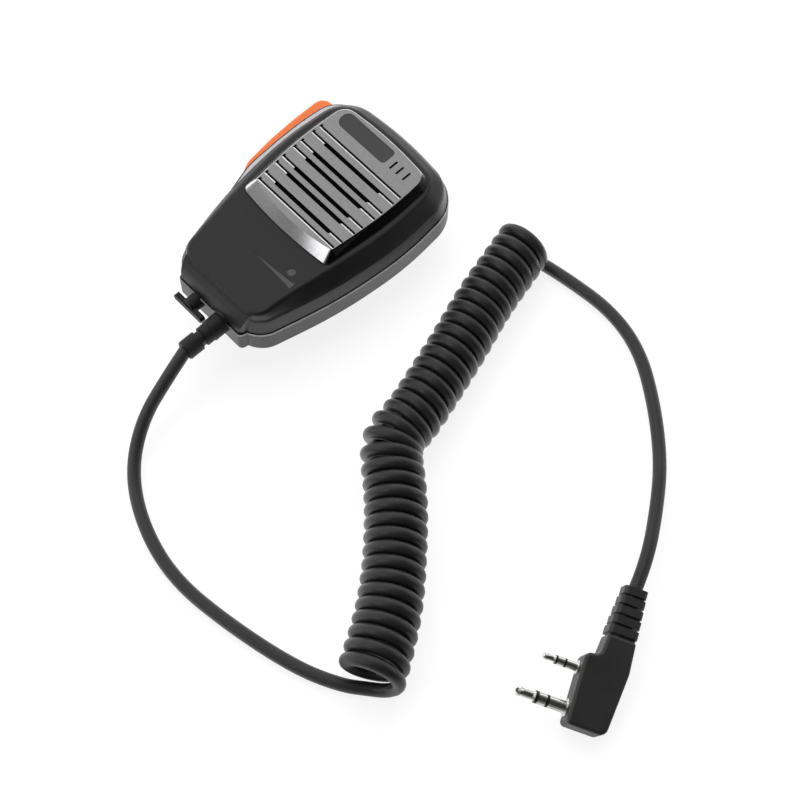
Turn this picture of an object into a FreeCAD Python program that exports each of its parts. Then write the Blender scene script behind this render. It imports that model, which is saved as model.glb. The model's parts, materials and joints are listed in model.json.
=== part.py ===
import FreeCAD, Part
import math
import os

# Hand speaker-microphone for a two-way radio, lying on its belt clip.
# Millimetres.  +X is right seen from the front, +Y points to the speaker end,
# +Z comes out of the front face.  The origin is on the surface that the clip
# lies on, under the axis of the clip's swivel.

V = FreeCAD.Vector
X_AXIS = V(1, 0, 0)
Y_AXIS = V(0, 1, 0)
Z_AXIS = V(0, 0, 1)
Z_TO_X = FreeCAD.Rotation(V(1, 1, 1), 120)

# ------------------------------------------------------------ driving dimensions
# Heights of the stack, from the resting surface up
JAW_T = 2.0
BELT_GAP = 4.5
PLATE_T = 2.2
WASHER_T = 0.2
HUB_H = 1.2
PLATE_Z = JAW_T + BELT_GAP
HUB_Z = PLATE_Z + PLATE_T + WASHER_T
BACK_Z = HUB_Z + HUB_H
SEAM_Z = 19.3
BAND_Z = 24.8
FACE_Z = 29.4
GRILLE_Z = 32.2

# Plan outlines: corners (x, y, radius) from the top middle down the right side
SEAM = [(0, 38.0, 110), (24.3, 35.6, 12.6), (26.5, 11, 100), (24.2, -13.1, 150), (17.4, -39.8, 8.7)]
FACE = [(0, 32.3, 120), (20.4, 30.4, 8), (22.2, 9.5, 90), (19.3, -13.5, 150), (15.0, -37.7, 5)]
GRILLE_BASE = [(0, 30.9, 120), (19.0, 29.4, 4.8), (20.4, 12, 120), (18.1, -12.2, 2.4), (0, -13.9, 160)]
GRILLE_TOP = [(0, 29.9, 120), (17.2, 28.3, 4.2), (18.2, 12, 120), (16.4, -8.0, 1.2), (0, -11.4, 70)]
NOSE_Y = -41.6
NOSE_ROOT = (14.4, -36.0)
NOSE_HALF = 13.0
NOSE_R = 1.6
NOSE_TOP = ((-41.5, 20.6), (-40.5, 23.4), (-38.3, 26.6))

WALL = 1.9
FACE_WALL = 2.0
BAND_INSET = 1.0
SEAM_GROOVE = 0.4
CROWN_Y = -8.0
CROWN_R = 226.0
RIM_R = 1.3
BACK_R = 1.8
REAR_LIP = 0.5
REAR_LIP_R = 0.35
REAR_DRAFT = 0.1
SHOULDER = ((0.72, 23.1), (0.98, 24.2), (1.42, 25.1))

# Speaker grille
GRILLE_WALL = 1.2
GRILLE_EDGE_R = 0.35
SLOT_PITCH = 7.45
SLOT_FIRST_Y = 18.2
SLOT_PAIR = 2.95
SLOT_W = 0.55
SLOT_WIDE = 1.35
SLOT_LIP = 0.4
SLOT_END = 0.7
SLOT_OPEN_HALF = 11.9
BADGE = (-15.1, 5.3, 22.2, 27.7)
TICKS_X = (7.7, 10.3, 13.1)
TICK_W = 0.66
PEGS = ((16.5, 20), (-16.5, 20), (15.5, -6), (-15.5, -6))

# Microphone port and the tapered groove beside it
PORT = (12.3, -20.2)
PORT_R = 1.25
MARK = [(-0.6, -23.5, 0), (15.2, -22.1, 0.3), (16.0, -24.1, 0.3)]
MARK_DEPTH = 0.3

# Connections through the nose
GLAND_X = 5.06
JACK_X = -5.06
EXIT_Z = 17.0
GLAND_R = 3.3
COLLAR_R = 4.5
COLLAR_Y = NOSE_Y - 0.5
JACK_R = 2.6
JACK_FACE_Y = -38.0
JACK_BORE_R = 1.8
CAP_BAR_Y = (-46.3, -44.6)
CAP_BAR_H = 2.4

# Push-to-talk key on the left side
KEY_Z = (14.5, 23.0)
KEY_Y = (-6.5, 30.0)
KEY_GAP = 0.4
KEY_PLAN = [(-21.8, -6.5, 0.3), (-25.2, -6.5, 1.2), (-27.6, -2.4, 8), (-28.9, 8, 50),
            (-29.4, 18, 60), (-29.3, 30.0, 3.6), (-21.8, 30.0, 0.3)]
HOOD_PLAN = [(-20.5, -13.5, 0.3), (-22.6, -13.5, 1.0), (-25.6, -3.6, 20), (-26.2, 8, 60),
             (-26.3, 18, 60), (-25.3, 28.2, 9), (-21.2, 32.1, 0.5), (-19.5, 31.0, 0.3)]
HOOD_Z = (23.3, 25.0)
HOOD_R = 0.8
PIVOT = (-22.0, -4.4)
PIVOT_R = 0.8
SWITCH_Y = 22.0
SWITCH_Z = 17.3
PLUNGER_TIP_X = -21.25
PLUNGER_R = 1.3
RUN_FIT = 0.05

# Speaker and circuit board
SPEAKER_Y = 5.5
SPEAKER_R = 18.0
CEILING_Z = FACE_Z - FACE_WALL
GASKET_Z = CEILING_Z - 0.1
GASKET_T = 0.8
BOARD_Z = 13.3
BOARD_T = 1.2
BOARD_INSET = 5.2
SCREWS = ((16.5, 30), (-16.5, 30), (14, -33), (-14, -33))
BOARD_POSTS = ((-9, -22), (9, -22), (0, 27))

# Belt clip
HINGE_Y = 8.0
HINGE_Z = JAW_T + 2.4
HINGE_R = 1.0

# Cord and its curly part
CORD_D = 4.0
CORD_R = CORD_D / 2
COIL_D = 18.0
LEAD_MIC = [(5.06, -55.7, 17.0), (7.2, -64, 15.6), (9, -76.8, 7.2), (17.7, -89, CORD_R),
            (33.5, -97.4, CORD_R), (51.3, -101, CORD_R), (71.7, -98.5, CORD_R), (92.8, -93.7, CORD_R),
            (105.3, -88, CORD_R), (111.6, -82.9, CORD_R)]
COIL_SPINE = [(44.0, 44.7), (49.6, 21.5), (54.8, 6.5), (59.8, -11), (65.5, -27), (76.5, -40.5),
              (88, -51), (98.9, -63), (107.2, -75.2), (111.6, -82.9)]
LEAD_PLUG = [(44.0, 44.7, CORD_R), (58.8, 47.6, CORD_R), (75.9, 49.3, CORD_R), (91, 45.7, CORD_R),
             (106, 35.9, CORD_R), (119.6, 24.2, CORD_R), (129.5, 11.5, 4.6), (139.3, -3.5, 8.6),
             (143.3, -13.2, 8.9)]

# Two-pin plug, tipped up a little by its stiff cord.  Its own axes are w, the depth
# behind the pins' face, v, which runs from the small pin to the large one, and the
# depth under its upper face.
PLUG_AT = V(150.5, -42.4, 11.5)
PLUG_TURN = 29.0
PLUG_PITCH = 6.6
PLUG_ROLL = 15.1
PLUG_T = 7.8
PLUG_EDGE_R = 1.0
PLUG_PLAN = [(0, 12.2, 1.4), (0, -8.2, 2.0), (4.0, -8.7, 2.0), (4.7, -15.0, 0.5), (12.9, -15.0, 1.0),
             (13.4, -6.0, 8), (11.6, 12.2, 2.4)]
PIN_GAP = 11.5
LARGE_V = 7.6
SMALL_V = LARGE_V - PIN_GAP


# ------------------------------------------------------------------ shape helpers
def full(half):
    """A symmetric outline from its right half."""
    return list(half) + [(-x, y, r) for x, y, r in reversed(half) if x > 0]


def unit(dx, dy):
    size = math.hypot(dx, dy)
    return dx / size, dy / size


def inset(half, gap):
    """The right half of the outline that lies gap inside the given one."""
    ring = full(half)
    moved = []
    for i, (x, y, r) in enumerate(half):
        x0, y0, _ = ring[i - 1]
        x2, y2, _ = ring[(i + 1) % len(ring)]
        ax, ay = unit(x - x0, y - y0)
        bx, by = unit(x2 - x, y2 - y)
        k = gap / (1 + ax * bx + ay * by)
        moved.append((x + (ay + by) * k, y - (ax + bx) * k, max(r - gap, 0.3)))
    return moved


def outline(corners, z=0.0):
    """Closed wire through the corners, each rounded with its own radius."""
    edges = []
    stops = []
    for i, (x, y, r) in enumerate(corners):
        x0, y0, _ = corners[i - 1]
        x2, y2, _ = corners[(i + 1) % len(corners)]
        ax, ay = unit(x - x0, y - y0)
        bx, by = unit(x2 - x, y2 - y)
        half_turn = math.acos(max(-1.0, min(1.0, ax * bx + ay * by))) / 2
        t = r * math.tan(half_turn)
        dx, dy = unit(bx - ax, by - ay)
        sag = r / math.cos(half_turn) - r
        stops.append((V(x - ax * t, y - ay * t, z), V(x + dx * sag, y + dy * sag, z),
                      V(x + bx * t, y + by * t, z)))
    for i, (start, middle, end) in enumerate(stops):
        edges.append(Part.LineSegment(stops[i - 1][2], start).toShape())
        if (end - start).Length > 1e-4:
            edges.append(Part.Arc(start, middle, end).toShape())
    return Part.Wire(edges)


def prism(corners, z0, z1):
    return Part.Face(outline(corners, z0)).extrude(V(0, 0, z1 - z0))


def side_prism(corners, x0, x1):
    """A prism along X whose corners are given as (y, z, radius)."""
    solid = prism(corners, x0, x1)
    solid.Placement = FreeCAD.Placement(V(), Z_TO_X)
    return solid


def loft(*sections):
    return Part.makeLoft([outline(full(half), z) for half, z in sections], True, True)


def box(x0, x1, y0, y1, z0, z1):
    return Part.makeBox(x1 - x0, y1 - y0, z1 - z0, V(x0, y0, z0))


def post(x, y, z0, z1, r):
    return Part.makeCylinder(r, z1 - z0, V(x, y, z0))


def rod_x(x0, x1, y, z, r):
    return Part.makeCylinder(r, x1 - x0, V(x0, y, z), X_AXIS)


def rod_y(x, y0, y1, z, r):
    return Part.makeCylinder(r, y1 - y0, V(x, y0, z), Y_AXIS)


def turned(profile, at=V(0, 0, 0)):
    """Solid of revolution about Z from (radius, height) points."""
    points = [V(r, 0, z) for r, z in profile]
    face = Part.Face(Part.makePolygon(points + points[:1]))
    solid = face.revolve(V(), Z_AXIS, 360)
    solid.translate(at)
    return solid


def joined(first, *others):
    return first.multiFuse(list(others)).removeSplitter()


def crown_drop(y):
    if y > CROWN_Y:
        return 0.0
    return CROWN_R - math.sqrt(CROWN_R ** 2 - (y - CROWN_Y) ** 2)


def under_crown(top):
    """Everything below the front face, which is flat and then falls gently to the nose."""
    far = 50.0
    mid_y = (CROWN_Y - far) / 2
    start = V(0, CROWN_Y, top)
    middle = V(0, mid_y, top - crown_drop(mid_y))
    end = V(0, -far, top - crown_drop(-far))
    rest = Part.makePolygon([end, V(0, -far, 0), V(0, far, 0), V(0, far, top), start])
    wire = Part.Wire([Part.Arc(start, middle, end).toShape()] + rest.Edges)
    solid = Part.Face(wire).extrude(V(2 * far, 0, 0))
    solid.translate(V(-far, 0, 0))
    return solid


# ----------------------------------------------------------------------- housing
def nose_plan(out):
    """The nose's outline, grown by out on its three free sides."""
    x, y = NOSE_ROOT
    tip = NOSE_Y - out
    half = NOSE_HALF + out
    return [(-x - out, y, 0), (-half, tip, NOSE_R), (half, tip, NOSE_R), (x + out, y, 0)]


def gland_collar(z0, z1):
    """Ring that stands out of the nose round the cord's gland, between two heights."""
    ring = rod_y(GLAND_X, COLLAR_Y, NOSE_Y + 2, EXIT_Z, COLLAR_R)
    return ring.common(box(-20, 20, -50, -30, z0, z1))


def level_edges(solid, z):
    return [e for e in solid.Edges if all(abs(v.Z - z) < 0.01 for v in e.Vertexes)]


def front_outside():
    """Drafted band, rounded shoulder and raised front; a small step at the seam stays dark."""
    lip_z = SEAM_Z + SEAM_GROOVE
    lip = prism(full(inset(SEAM, SEAM_GROOVE)), SEAM_Z, lip_z)
    shoulder = [(inset(SEAM, gap), z) for gap, z in SHOULDER]
    body = loft((SEAM, lip_z), *shoulder, (FACE, FACE_Z))
    body = body.common(under_crown(FACE_Z))
    rim = [e for e in body.Edges
           if all(abs(v.Z - FACE_Z + crown_drop(v.Y)) < 0.02 for v in e.Vertexes) and e.Length < 40]
    body = body.makeFillet(RIM_R, rim)
    back, mid, tip = NOSE_TOP
    slope = Part.Arc(V(0, *back), V(0, *mid), V(0, *tip)).toShape()
    rest = Part.makePolygon([V(0, *tip), V(0, -34, tip[1]), V(0, -34, SEAM_Z),
                             V(0, back[0], SEAM_Z), V(0, *back)])
    nose = Part.Face(Part.Wire([slope] + rest.Edges)).extrude(V(40, 0, 0))
    nose.translate(V(-20, 0, 0))
    nose = nose.common(prism(nose_plan(0), lip_z, BAND_Z + 3))
    nose_lip = prism(nose_plan(-SEAM_GROOVE), SEAM_Z, lip_z)
    return joined(body, lip, nose, nose_lip, gland_collar(SEAM_Z, BAND_Z), key_hood())


def front_inside():
    band = inset(SEAM, BAND_INSET)
    room = loft((inset(SEAM, WALL), SEAM_Z - 1), (inset(band, WALL), BAND_Z - 0.8),
                (inset(FACE, 1.4), CEILING_Z))
    return room.common(under_crown(CEILING_Z))


def key_hood():
    """Rounded ledge of the shell over the whole length of the key."""
    hood = prism(HOOD_PLAN, *HOOD_Z)
    edge = [e for e in level_edges(hood, HOOD_Z[1]) if e.CenterOfMass.x < -21.5]
    return hood.makeFillet(HOOD_R, edge)


def key_window():
    y0, y1 = KEY_Y[0] - KEY_GAP, KEY_Y[1] + KEY_GAP
    z0, z1 = KEY_Z[0] - KEY_GAP, KEY_Z[1] + KEY_GAP
    return side_prism([(y0, z0, 1.3), (y1, z0, 1.3), (y1, z1, 1.3), (y0, z1, 1.3)], -34, -20.4)


def nose_holes():
    gland = rod_y(GLAND_X, NOSE_Y - 1, -37, EXIT_Z, GLAND_R)
    jack = rod_y(JACK_X, NOSE_Y - 1, -37, EXIT_Z, JACK_R)
    return [gland, jack]


def slot_rows():
    """(y, cut through) of every groove across the grille, from the top down."""
    rows = []
    for i in range(4):
        rows.append((SLOT_FIRST_Y - i * SLOT_PITCH, i > 0))
        rows.append((SLOT_FIRST_Y - SLOT_PAIR - i * SLOT_PITCH, i < 3))
    return rows


def front_housing():
    outside = front_outside()
    shell = outside.cut(front_inside())
    bosses = [post(x, y, SEAM_Z, FACE_Z, 2.6) for x, y in SCREWS]
    solid_parts = [b.common(outside) for b in bosses]
    shell = joined(shell, *solid_parts)
    cuts = [post(x, y, SEAM_Z - 1, 25.0, 1.1) for x, y in SCREWS]
    cuts += [post(x, y, CEILING_Z - 2, FACE_Z + 1, 1.0) for x, y in PEGS]
    cuts += nose_holes() + [key_window()]
    cuts.append(post(*PIVOT, KEY_Z[1], 24.4, PIVOT_R))
    cuts.append(post(*PORT, 20, FACE_Z + 1, PORT_R))
    mark_z = FACE_Z - crown_drop(MARK[1][1]) - MARK_DEPTH
    cuts.append(prism(MARK, mark_z, FACE_Z + 1))
    for y, through in slot_rows():
        if through:
            half = SLOT_OPEN_HALF - 0.4
            cuts.append(box(-half, half, y - 1.1, y + 0.6, CEILING_Z - 1, FACE_Z + 1))
    return shell.cut(cuts)


def rear_cover():
    outside = loft((inset(SEAM, -REAR_LIP + REAR_DRAFT), BACK_Z), (inset(SEAM, -REAR_LIP), SEAM_Z))
    outside = outside.makeFillet(BACK_R, level_edges(outside, BACK_Z))
    outside = outside.makeFillet(REAR_LIP_R, level_edges(outside, SEAM_Z))
    nose = prism(nose_plan(REAR_LIP), BACK_Z + BACK_R, SEAM_Z)
    tip = [e for e in level_edges(nose, SEAM_Z) if e.CenterOfMass.y < NOSE_ROOT[1]]
    nose = nose.makeFillet(REAR_LIP_R, tip)
    hub = post(0, 0, HUB_Z, BACK_Z + 1, 10.5)
    outside = joined(outside, nose, hub, gland_collar(BACK_Z + BACK_R, SEAM_Z))
    floor_z = BACK_Z + WALL
    room = prism(full(inset(SEAM, WALL + 0.3)), floor_z, SEAM_Z + 1)
    shell = outside.cut(room)
    posts = [post(x, y, floor_z - 0.5, SEAM_Z, 3.6) for x, y in SCREWS]
    posts += [post(x, y, floor_z - 0.5, BOARD_Z, 2.0) for x, y in BOARD_POSTS]
    posts.append(post(0, 0, floor_z - 0.5, 16.4, 3.6))
    posts.append(post(*PIVOT, floor_z - 0.5, KEY_Z[0] - KEY_GAP, 1.9))
    posts = [p.common(outside) if p.BoundBox.XMin < -22 else p for p in posts]
    shell = joined(shell, *posts)
    cuts = [post(x, y, 8, SEAM_Z + 1, 1.3) for x, y in SCREWS]
    cuts += [post(x, y, 8, 13, 2.5) for x, y in SCREWS]
    cuts += [post(x, y, 12.2, BOARD_Z + 1, 0.8) for x, y in BOARD_POSTS]
    cuts.append(post(0, 0, 8, 18, 1.5))
    cuts.append(post(*PIVOT, 12.4, KEY_Z[0], PIVOT_R))
    cuts += nose_holes() + [key_window()]
    return shell.cut(cuts)


def cross_screw(head_r, head_h, shaft_r, shaft_l):
    """Screw with its head's top at z = 0, pointing up, with a cross recess in its head."""
    screw = turned([(0, 0), (head_r - 0.4, 0), (head_r, 0.4), (head_r, head_h), (shaft_r, head_h),
                    (shaft_r, head_h + shaft_l - 1), (shaft_r * 0.4, head_h + shaft_l),
                    (0, head_h + shaft_l)])
    arm = head_r * 0.62
    slot = head_r * 0.13
    depth = head_h * 0.45
    return screw.cut([box(-arm, arm, -slot, slot, -1, depth), box(-slot, slot, -arm, arm, -1, depth)])


def housing_screws():
    screws = []
    for x, y in SCREWS:
        screw = cross_screw(2.2, 2.0, 1.1, 12.0)
        screw.translate(V(x, y, 11.0))
        screws.append(screw)
    return Part.makeCompound(screws)


# ------------------------------------------------------------------------ grille
def speaker_grille():
    body = loft((GRILLE_BASE, FACE_Z), (GRILLE_TOP, GRILLE_Z))
    body = body.makeFillet(GRILLE_EDGE_R, level_edges(body, GRILLE_Z))
    room = loft((inset(GRILLE_BASE, 1.3), FACE_Z - 0.01), (inset(GRILLE_TOP, 0.9), GRILLE_Z - GRILLE_WALL))
    pegs = [post(x, y, CEILING_Z, GRILLE_Z - 0.6, 0.9) for x, y in PEGS]
    body = joined(body.cut(room), *pegs)
    cuts = []
    for y, through in slot_rows():
        half = 17.4 - 0.0035 * (y - 12) ** 2
        w = SLOT_W / 2
        cuts.append(box(-half, half, y - w, y + w, GRILLE_Z - 0.7, GRILLE_Z + 1))
        cuts.append(box(-half, -half + SLOT_END, y, y + SLOT_END, GRILLE_Z - 0.7, GRILLE_Z + 1))
        lip = y - w - SLOT_LIP
        cuts.append(side_prism([(y - w, GRILLE_Z - 0.22, 0), (lip, GRILLE_Z, 0), (lip, GRILLE_Z + 1, 0),
                                (y - w, GRILLE_Z + 1, 0)], -half, half))
        if through:
            a, b = SLOT_OPEN_HALF, SLOT_OPEN_HALF - 0.5
            low = y + w - SLOT_WIDE
            cuts.append(prism([(-a, y + w, 0), (a, y + w, 0), (a, y - w, 0), (b, low, 0),
                               (-b, low, 0), (-a, y - w, 0)], FACE_Z, GRILLE_Z + 1))
    for x in TICKS_X:
        cuts.append(box(x - TICK_W / 2, x + TICK_W / 2, 22.7, 25.9, GRILLE_Z - 0.6, GRILLE_Z + 1))
    cuts.append(badge(GRILLE_Z - 0.35, GRILLE_Z + 1))
    return body.cut(cuts)


def badge(z0, z1):
    x0, x1, y0, y1 = BADGE
    return prism([(x0, y0, 2.5), (x0, y1, 2.3), (x1, y1, 1.3), (x1, y0, 1.3)], z0, z1)


def badge_plate():
    return badge(GRILLE_Z - 0.35, GRILLE_Z - 0.1)


def grille_cloth():
    return prism([(-13, -6.5, 2), (-13, 17.5, 2), (13, 17.5, 2), (13, -6.5, 2)], FACE_Z, FACE_Z + 0.25)


# ----------------------------------------------------------------- push-to-talk
def ptt_key():
    z0, z1 = KEY_Z
    body = prism(KEY_PLAN, z0, z1)
    edge = [e for e in body.Edges
            if e.BoundBox.ZLength < 0.01 and e.BoundBox.XMin < -22 and e.BoundBox.YMin > KEY_Y[0] - 1
            and not (e.BoundBox.XLength < 0.5 and e.BoundBox.XMin > -22.5)]
    edge = [e for e in edge if e.CenterOfMass.x < -24]
    body = body.makeFillet(0.9, edge)
    flange = prism(full(inset(SEAM, 3.0)), z0 - 1.3, z1 + 0.9)
    flange = flange.cut(prism(full(inset(SEAM, 4.2)), z0 - 2, z1 + 2))
    flange = flange.common(box(-30, -15, -2.2, SWITCH_Y - 3.5, z0 - 1.3, z1 + 0.9))
    knuckle = post(*PIVOT, z0, z1, 1.9)
    rib = box(-22.2, PLUNGER_TIP_X - 0.1, SWITCH_Y - 1.2, SWITCH_Y + 1.2, SWITCH_Z - 1.6, SWITCH_Z + 1.6)
    key = joined(body, flange, knuckle, rib)
    return key.cut(post(*PIVOT, z0 - 3, z1 + 3, PIVOT_R + RUN_FIT))


def ptt_pivot_pin():
    return post(*PIVOT, 12.4, 24.4, PIVOT_R)


def switch_body():
    body = box(-20.4, -15.2, SWITCH_Y - 3, SWITCH_Y + 3, BOARD_Z + BOARD_T, SWITCH_Z + 2.6)
    return body.cut(rod_x(-21, -17.4, SWITCH_Y, SWITCH_Z, PLUNGER_R + RUN_FIT))


def switch_plunger():
    return rod_x(PLUNGER_TIP_X, -18.3, SWITCH_Y, SWITCH_Z, PLUNGER_R)


# ------------------------------------------------------- speaker and microphone
def at_speaker(profile):
    return turned(profile, V(0, SPEAKER_Y, 0))


def speaker_gasket():
    top, bottom = GASKET_Z, GASKET_Z - GASKET_T
    return at_speaker([(15.6, bottom), (SPEAKER_R, bottom), (SPEAKER_R, top), (15.6, top)])


def speaker_frame():
    top = GASKET_Z - GASKET_T
    return at_speaker([(15.6, top), (15.6, top - 0.6), (9.2, top - 5.2), (3.0, top - 5.2), (3.0, top - 6.2),
                       (10.2, top - 6.2), (16.6, top - 1.4), (SPEAKER_R, top - 1.4), (SPEAKER_R, top)])


def speaker_cone():
    top = GASKET_Z - GASKET_T
    return at_speaker([(15.5, top - 0.1), (14.6, top + 0.3), (13.6, top - 0.2), (5.2, top - 3.6),
                       (3.4, top - 2.6), (0, top - 2.1), (0, top - 2.5), (3.2, top - 3.0),
                       (5.2, top - 4.0), (13.8, top - 0.6), (14.7, top - 0.1), (15.3, top - 0.5)])


def speaker_magnet():
    top = GASKET_Z - GASKET_T - 6.2
    return at_speaker([(0, top - 3.4), (7.8, top - 3.4), (8.4, top - 2.8), (8.4, top), (0, top)])


def mic_boot():
    top = CEILING_Z - crown_drop(PORT[1]) - 0.35
    return turned([(3.05, top - 3.9), (4.0, top - 3.9), (4.0, top - 0.4), (3.6, top), (1.0, top),
                   (1.0, top - 0.9), (3.05, top - 0.9)], V(*PORT, 0))


def mic_capsule():
    top = CEILING_Z - crown_drop(PORT[1]) - 1.25
    return turned([(0, top - 2.7), (3.0, top - 2.7), (3.0, top), (0.5, top), (0.5, top - 0.3),
                   (0, top - 0.3)], V(*PORT, 0))


def mic_screen():
    top = FACE_Z - crown_drop(PORT[1]) - 0.12
    return post(*PORT, top - 0.5, top, PORT_R)


# ---------------------------------------------------------------- circuit board
def circuit_board():
    board = prism(full(inset(SEAM, BOARD_INSET)), BOARD_Z, BOARD_Z + BOARD_T)
    cuts = [post(x, y, 12, 16, 4.0) for x, y in SCREWS]
    cuts += [post(x, y, 12, 16, 0.9) for x, y in BOARD_POSTS]
    cuts.append(post(0, 0, 12, 16, 4.0))
    return board.cut(cuts)


def board_components():
    z = BOARD_Z + BOARD_T
    chips = [box(3, 10, -15, -9, z, z + 1.3), box(-12, -7, -14, -9, z, z + 1.1),
             box(9, 14, 8, 11, z, z + 1.6), box(-14, -10, 2, 5, z, z + 1.2)]
    cans = [post(-13, -20, z, z + 3.2, 2.0), post(14.5, -8, z, z + 3.2, 2.0), post(8, 22, z, z + 2.4, 2.2)]
    return Part.makeCompound(chips + cans)


def board_screws():
    z = BOARD_Z + BOARD_T
    screws = []
    for x, y in BOARD_POSTS:
        screws.append(turned([(0, 12.3), (0.8, 12.3), (0.8, z), (1.7, z), (1.5, z + 0.9), (0, z + 0.9)],
                             V(x, y, 0)))
    return Part.makeCompound(screws)


# --------------------------------------------------------------- jack and gland
def earphone_jack():
    body = box(JACK_X - 3.2, JACK_X + 3.2, JACK_FACE_Y + 0.8, -26.5, BOARD_Z + BOARD_T, EXIT_Z + 3)
    collar = rod_y(JACK_X, JACK_FACE_Y, -36.5, EXIT_Z, 2.5)
    socket = rod_y(JACK_X, JACK_FACE_Y - 1, -27.3, EXIT_Z, JACK_BORE_R)
    return joined(body, collar).cut(socket)


def jack_cap():
    stem = rod_y(JACK_X, CAP_BAR_Y[0] + 0.5, JACK_FACE_Y - 0.4, EXIT_Z, JACK_R - 0.08)
    y0, y1 = CAP_BAR_Y
    bar = box(JACK_X - 5.7, JACK_X + 6.2, y0, y1, EXIT_Z - CAP_BAR_H / 2, EXIT_Z + CAP_BAR_H / 2)
    corners = [e for e in bar.Edges if abs(e.BoundBox.YLength - (y1 - y0)) < 0.01]
    return joined(stem, bar.makeFillet(0.9, corners))


def cord_strain_relief():
    """Moulded gland: flange behind the wall, collar, neck and end ring."""
    start = -36.4
    profile = [(0, 0), (4.3, 0), (4.3, 0.9), (GLAND_R, 0.9), (GLAND_R, 10.0), (3.0, 10.2), (3.0, 12.6),
               (2.35, 12.6), (2.35, 14.4), (3.05, 14.4), (3.05, 19.0), (2.85, 19.3), (0, 19.3)]
    gland = turned(profile)
    notches = []
    for side in (-1, 1):
        notches.append(box(side * 2.5 - 0.4, side * 2.5 + 0.4, -4, 4, 12.6, 14.4))
    gland = gland.cut(notches)
    gland.rotate(V(), X_AXIS, 90)
    gland.translate(V(GLAND_X, start, EXIT_Z))
    return gland


# -------------------------------------------------------------------- belt clip
def clip_plate():
    plate = prism([(-9.5, -25, 3), (-9.5, 14, 3), (9.5, 14, 3), (9.5, -25, 3)], PLATE_Z, PLATE_Z + PLATE_T)
    disc = post(0, 0, PLATE_Z, PLATE_Z + PLATE_T, 12)
    ears = []
    for side in (-1, 1):
        x0 = side * 7.4 - 1.0
        ears.append(rod_x(x0, x0 + 2, HINGE_Y, HINGE_Z, 2.1))
        ears.append(box(x0, x0 + 2, HINGE_Y - 2.1, HINGE_Y + 2.1, HINGE_Z, PLATE_Z + 0.5))
    plate = joined(plate, disc, *ears)
    cuts = [post(0, 0, 0, 12, 1.5 + RUN_FIT), post(0, 0, PLATE_Z - 1, PLATE_Z + 1.15, 3.1),
            rod_x(-10, 10, HINGE_Y, HINGE_Z, HINGE_R)]
    return plate.cut(cuts)


def clip_jaw():
    plate = prism([(-9, -25, 3.5), (-9, 20, 3.5), (9, 20, 3.5), (9, -25, 3.5)], 0, JAW_T)
    lugs = []
    for side in (-1, 1):
        x0 = side * 5.0 - 1.0
        lugs.append(rod_x(x0, x0 + 2, HINGE_Y, HINGE_Z, 1.8))
        lugs.append(box(x0, x0 + 2, HINGE_Y - 1.8, HINGE_Y + 1.8, 1, HINGE_Z))
    tooth = side_prism([(-24.6, 1.0, 0), (-21.4, 1.0, 0), (-22.6, PLATE_Z - 0.05, 0.3),
                        (-24.2, PLATE_Z - 0.05, 0.3)], -7, 7)
    jaw = joined(plate, tooth, *lugs)
    cuts = [rod_x(-10, 10, HINGE_Y, HINGE_Z, HINGE_R + RUN_FIT)]
    for y in (11.5, 13.5, 15.5, 17.5):
        cuts.append(box(-6, 6, y - 0.4, y + 0.4, -1, 0.5))
    return jaw.cut(cuts)


def clip_hinge_pin():
    return rod_x(-8.8, 8.8, HINGE_Y, HINGE_Z, HINGE_R)


def clip_spring():
    """Torsion spring as a ribbed sleeve on the pin, with its two legs."""
    wire = 0.75
    turns = 8
    start = -wire * turns / 2
    profile = [(1.25, start), (1.25, -start)]
    for i in range(turns, 0, -1):
        z = start + i * wire
        profile += [(1.75, z), (2.0, z - wire / 2)]
    profile.append((1.75, start))
    sleeve = turned(profile)
    sleeve.rotate(V(), Y_AXIS, 90)
    sleeve.translate(V(0, HINGE_Y, HINGE_Z))
    plate_leg = rod_y(2.6, HINGE_Y, HINGE_Y + 5, PLATE_Z - 0.4, 0.36)
    jaw_leg = rod_y(-2.6, HINGE_Y, HINGE_Y + 1.5, HINGE_Z - 1.5, 0.36)
    bore = rod_x(-5, 5, HINGE_Y, HINGE_Z, 1.25)
    return joined(sleeve, plate_leg, jaw_leg).cut(bore)


def clip_washer():
    return turned([(1.6, PLATE_Z + PLATE_T), (5.0, PLATE_Z + PLATE_T), (5.0, HUB_Z), (1.6, HUB_Z)])


def clip_swivel_screw():
    screw = cross_screw(2.8, 1.0, 1.5, 9.0)
    screw.translate(V(0, 0, PLATE_Z + 0.1))
    return screw


# ------------------------------------------------------------------------- cord
def cord_path(points):
    """Straight runs joined by tangent arcs as large as the runs allow."""
    points = [V(*p) for p in points]
    runs = [(b - a).Length for a, b in zip(points, points[1:])]
    edges = []
    start = points[0]
    length = 0.0
    tightest = 1e9
    for i in range(1, len(points) - 1):
        into = (points[i] - points[i - 1]).normalize()
        out = (points[i + 1] - points[i]).normalize()
        half_turn = into.getAngle(out) / 2
        short = min(runs[i - 1], runs[i])
        t = 0.45 * short
        radius = t / math.tan(half_turn)
        tightest = min(tightest, radius)
        first = points[i] - into * t
        last = points[i] + out * t
        middle = points[i] + (out - into).normalize() * (radius / math.cos(half_turn) - radius)
        edges.append(Part.LineSegment(start, first).toShape())
        edges.append(Part.Arc(first, middle, last).toShape())
        start = last
    edges.append(Part.LineSegment(start, points[-1]).toShape())
    length = sum(e.Length for e in edges)
    return Part.Wire(edges), length, tightest


def tube(name, points, diameter):
    path, length, tightest = cord_path(points)
    heading = V(*points[1]) - V(*points[0])
    section = Part.Wire(Part.makeCircle(diameter / 2, V(*points[0]), heading))
    solid = path.makePipeShell([section], True, False)
    ratio = solid.Volume / (math.pi * diameter ** 2 / 4 * length)
    print(f"{name}: length {length:.1f}, tightest radius {tightest:.1f}, volume ratio {ratio:.4f}")
    return solid


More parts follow.
